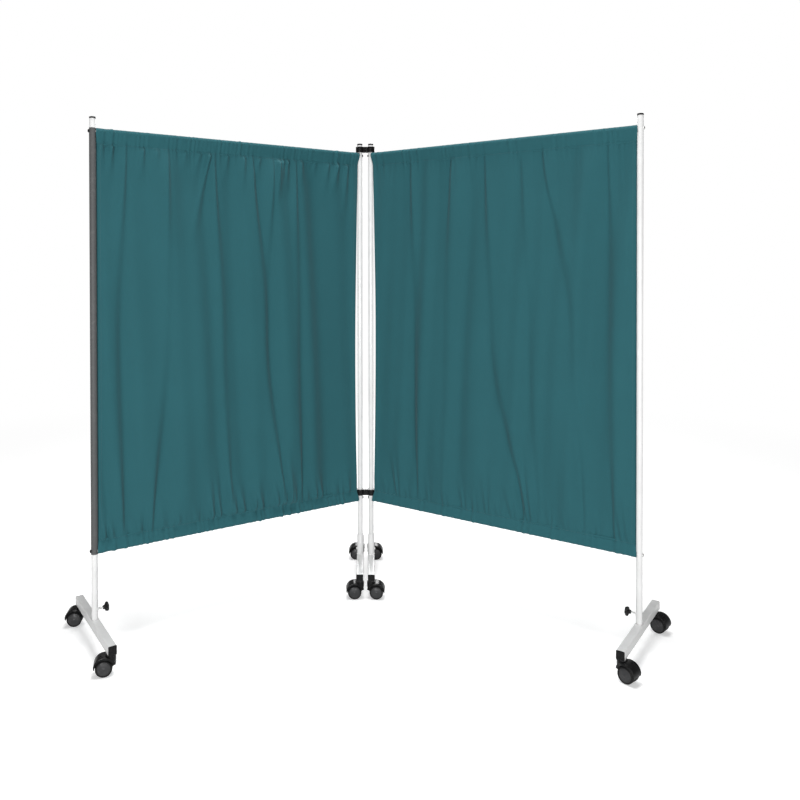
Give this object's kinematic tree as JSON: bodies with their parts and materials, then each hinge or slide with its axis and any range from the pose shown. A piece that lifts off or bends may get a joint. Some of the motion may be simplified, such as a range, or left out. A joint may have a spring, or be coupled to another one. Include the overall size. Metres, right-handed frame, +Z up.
{
  "type": "mobile privacy screen",
  "caption": "Folding ward screen of hanging cloth between round posts, hinged at the middle, on square feet with twin-wheel swivel casters.",
  "frame": {"origin": "on the floor under the middle of the whole box, with the screen half folded as in the picture", "axes": "+Z up, -Y towards the viewer in the picture (the side the two panels come towards), +X to the viewer's right"},
  "size_m": [2.0052, 0.9662, 1.67],
  "materials": {
    "white_paint": "smooth white powder coat on steel tube",
    "grey_sleeve": "matt dark grey sleeve",
    "teal_cloth": "plain woven teal cloth with hanging folds",
    "black_plastic": "moulded black plastic",
    "wheel_plastic": "black tread with dark grey domed hubcaps",
    "bolt_black": "blackened steel",
    "screw_steel": "bright screw head"
  },
  "bodies": {
    "hinge_clamps": {"top_hinge_clamp": "black_plastic", "bottom_hinge_clamp": "black_plastic"},
    "left_panel": {"left_outer_post": "white_paint", "left_outer_post_cap": "black_plastic", "left_inner_post": "white_paint", "left_inner_post_cap": "black_plastic", "left_top_rail": "white_paint", "left_bottom_rail": "white_paint", "left_outer_top_bolt": "bolt_black", "left_inner_top_bolt": "bolt_black", "left_outer_bottom_bolt": "bolt_black", "left_inner_bottom_bolt": "bolt_black", "left_cloth": "teal_cloth", "left_edge_sleeve": "grey_sleeve"},
    "left_knob": {"left_knob": "black_plastic"},
    "left_inner_foot": {"left_inner_foot": "white_paint", "left_inner_front_end_cap": "black_plastic", "left_inner_rear_end_cap": "black_plastic", "left_inner_foot_screw": "screw_steel"},
    "left_inner_front_caster": {"left_inner_front_caster": "black_plastic"},
    "left_inner_front_wheels": {"left_inner_front_wheels": "wheel_plastic"},
    "left_inner_rear_caster": {"left_inner_rear_caster": "black_plastic"},
    "left_inner_rear_wheels": {"left_inner_rear_wheels": "wheel_plastic"},
    "left_outer_foot": {"left_outer_foot": "white_paint", "left_outer_front_end_cap": "black_plastic", "left_outer_rear_end_cap": "black_plastic"},
    "left_outer_front_caster": {"left_outer_front_caster": "black_plastic"},
    "left_outer_front_wheels": {"left_outer_front_wheels": "wheel_plastic"},
    "left_outer_rear_caster": {"left_outer_rear_caster": "black_plastic"},
    "left_outer_rear_wheels": {"left_outer_rear_wheels": "wheel_plastic"},
    "right_panel": {"right_outer_post": "white_paint", "right_outer_post_cap": "black_plastic", "right_inner_post": "white_paint", "right_inner_post_cap": "black_plastic", "right_top_rail": "white_paint", "right_bottom_rail": "white_paint", "right_outer_top_bolt": "bolt_black", "right_inner_top_bolt": "bolt_black", "right_outer_bottom_bolt": "bolt_black", "right_inner_bottom_bolt": "bolt_black", "right_cloth": "teal_cloth"},
    "right_knob": {"right_knob": "black_plastic"},
    "right_inner_foot": {"right_inner_foot": "white_paint", "right_inner_front_end_cap": "black_plastic", "right_inner_rear_end_cap": "black_plastic", "right_inner_foot_screw": "screw_steel"},
    "right_inner_front_caster": {"right_inner_front_caster": "black_plastic"},
    "right_inner_front_wheels": {"right_inner_front_wheels": "wheel_plastic"},
    "right_inner_rear_caster": {"right_inner_rear_caster": "black_plastic"},
    "right_inner_rear_wheels": {"right_inner_rear_wheels": "wheel_plastic"},
    "right_outer_foot": {"right_outer_foot": "white_paint", "right_outer_front_end_cap": "black_plastic", "right_outer_rear_end_cap": "black_plastic"},
    "right_outer_front_caster": {"right_outer_front_caster": "black_plastic"},
    "right_outer_front_wheels": {"right_outer_front_wheels": "wheel_plastic"},
    "right_outer_rear_caster": {"right_outer_rear_caster": "black_plastic"},
    "right_outer_rear_wheels": {"right_outer_rear_wheels": "wheel_plastic"}
  },
  "joints": [
    {"name": "left_panel_fold", "type": "hinge", "parent": "hinge_clamps", "child": "left_panel", "pos_m": [-0.01988, 0.27856, 1.65], "axis": [0, 0, 1], "range_deg": [-124, 56]},
    {"name": "left_knob_turn", "type": "hinge", "parent": "left_panel", "child": "left_knob", "pos_m": [-0.84892, -0.28063, 0.12102], "axis": [0.829, 0.5592, 0], "range_deg": [0, 360]},
    {"name": "left_inner_foot_turn", "type": "hinge", "parent": "hinge_clamps", "child": "left_inner_foot", "pos_m": [-0.01988, 0.27856, 0.09], "axis": [0, 0, 1], "range_deg": [-3, 3]},
    {"name": "left_inner_front_swivel", "type": "hinge", "parent": "left_inner_foot", "child": "left_inner_front_caster", "pos_m": [-0.01988, 0.09556, 0.062], "axis": [0, 0, 1], "range_deg": [-90, 90]},
    {"name": "left_inner_front_spin", "type": "hinge", "parent": "left_inner_front_caster", "child": "left_inner_front_wheels", "pos_m": [-0.03884, 0.09423, 0.02452], "axis": [0.0698, -0.9976, 0], "continuous": true},
    {"name": "left_inner_rear_swivel", "type": "hinge", "parent": "left_inner_foot", "child": "left_inner_rear_caster", "pos_m": [-0.01988, 0.46156, 0.062], "axis": [0, 0, 1], "range_deg": [-90, 90]},
    {"name": "left_inner_rear_spin", "type": "hinge", "parent": "left_inner_rear_caster", "child": "left_inner_rear_wheels", "pos_m": [-0.03888, 0.46156, 0.02452], "axis": [0, -1, 0], "continuous": true},
    {"name": "left_outer_foot_turn", "type": "hinge", "parent": "left_panel", "child": "left_outer_foot", "pos_m": [-0.84892, -0.28063, 0.09], "axis": [0, 0, 1], "range_deg": [-90, 90]},
    {"name": "left_outer_front_swivel", "type": "hinge", "parent": "left_outer_foot", "child": "left_outer_front_caster", "pos_m": [-0.74659, -0.43235, 0.062], "axis": [0, 0, 1], "continuous": true},
    {"name": "left_outer_front_spin", "type": "hinge", "parent": "left_outer_front_caster", "child": "left_outer_front_wheels", "pos_m": [-0.76494, -0.43726, 0.02452], "axis": [0.2588, -0.9659, 0], "continuous": true},
    {"name": "left_outer_rear_swivel", "type": "hinge", "parent": "left_outer_foot", "child": "left_outer_rear_caster", "pos_m": [-0.95125, -0.12892, 0.062], "axis": [0, 0, 1], "continuous": true},
    {"name": "left_outer_rear_spin", "type": "hinge", "parent": "left_outer_rear_caster", "child": "left_outer_rear_wheels", "pos_m": [-0.97007, -0.13156, 0.02452], "axis": [0.1392, -0.9903, 0], "continuous": true},
    {"name": "right_panel_fold", "type": "hinge", "parent": "hinge_clamps", "child": "right_panel", "pos_m": [0.02212, 0.27856, 1.65], "axis": [0, 0, 1], "range_deg": [-56, 124]},
    {"name": "right_knob_turn", "type": "hinge", "parent": "right_panel", "child": "right_knob", "pos_m": [0.85115, -0.28063, 0.12102], "axis": [-0.829, 0.5592, 0], "range_deg": [0, 360]},
    {"name": "right_inner_foot_turn", "type": "hinge", "parent": "hinge_clamps", "child": "right_inner_foot", "pos_m": [0.02212, 0.27856, 0.09], "axis": [0, 0, 1], "range_deg": [-3, 3]},
    {"name": "right_inner_front_swivel", "type": "hinge", "parent": "right_inner_foot", "child": "right_inner_front_caster", "pos_m": [0.02212, 0.09556, 0.062], "axis": [0, 0, 1], "range_deg": [-90, 90]},
    {"name": "right_inner_front_spin", "type": "hinge", "parent": "right_inner_front_caster", "child": "right_inner_front_wheels", "pos_m": [0.04107, 0.09423, 0.02452], "axis": [0.0698, 0.9976, 0], "continuous": true},
    {"name": "right_inner_rear_swivel", "type": "hinge", "parent": "right_inner_foot", "child": "right_inner_rear_caster", "pos_m": [0.02212, 0.46156, 0.062], "axis": [0, 0, 1], "range_deg": [-90, 90]},
    {"name": "right_inner_rear_spin", "type": "hinge", "parent": "right_inner_rear_caster", "child": "right_inner_rear_wheels", "pos_m": [0.04112, 0.46156, 0.02452], "axis": [0, 1, 0], "continuous": true},
    {"name": "right_outer_foot_turn", "type": "hinge", "parent": "right_panel", "child": "right_outer_foot", "pos_m": [0.85115, -0.28063, 0.09], "axis": [0, 0, 1], "range_deg": [-90, 90]},
    {"name": "right_outer_front_swivel", "type": "hinge", "parent": "right_outer_foot", "child": "right_outer_front_caster", "pos_m": [0.74882, -0.43235, 0.062], "axis": [0, 0, 1], "continuous": true},
    {"name": "right_outer_front_spin", "type": "hinge", "parent": "right_outer_front_caster", "child": "right_outer_front_wheels", "pos_m": [0.76103, -0.4469, 0.02452], "axis": [0.766, 0.6428, 0], "continuous": true},
    {"name": "right_outer_rear_swivel", "type": "hinge", "parent": "right_outer_foot", "child": "right_outer_rear_caster", "pos_m": [0.95349, -0.12892, 0.062], "axis": [0, 0, 1], "continuous": true},
    {"name": "right_outer_rear_spin", "type": "hinge", "parent": "right_outer_rear_caster", "child": "right_outer_rear_wheels", "pos_m": [0.96692, -0.14235, 0.02452], "axis": [0.7071, 0.7071, 0], "continuous": true}
  ]
}
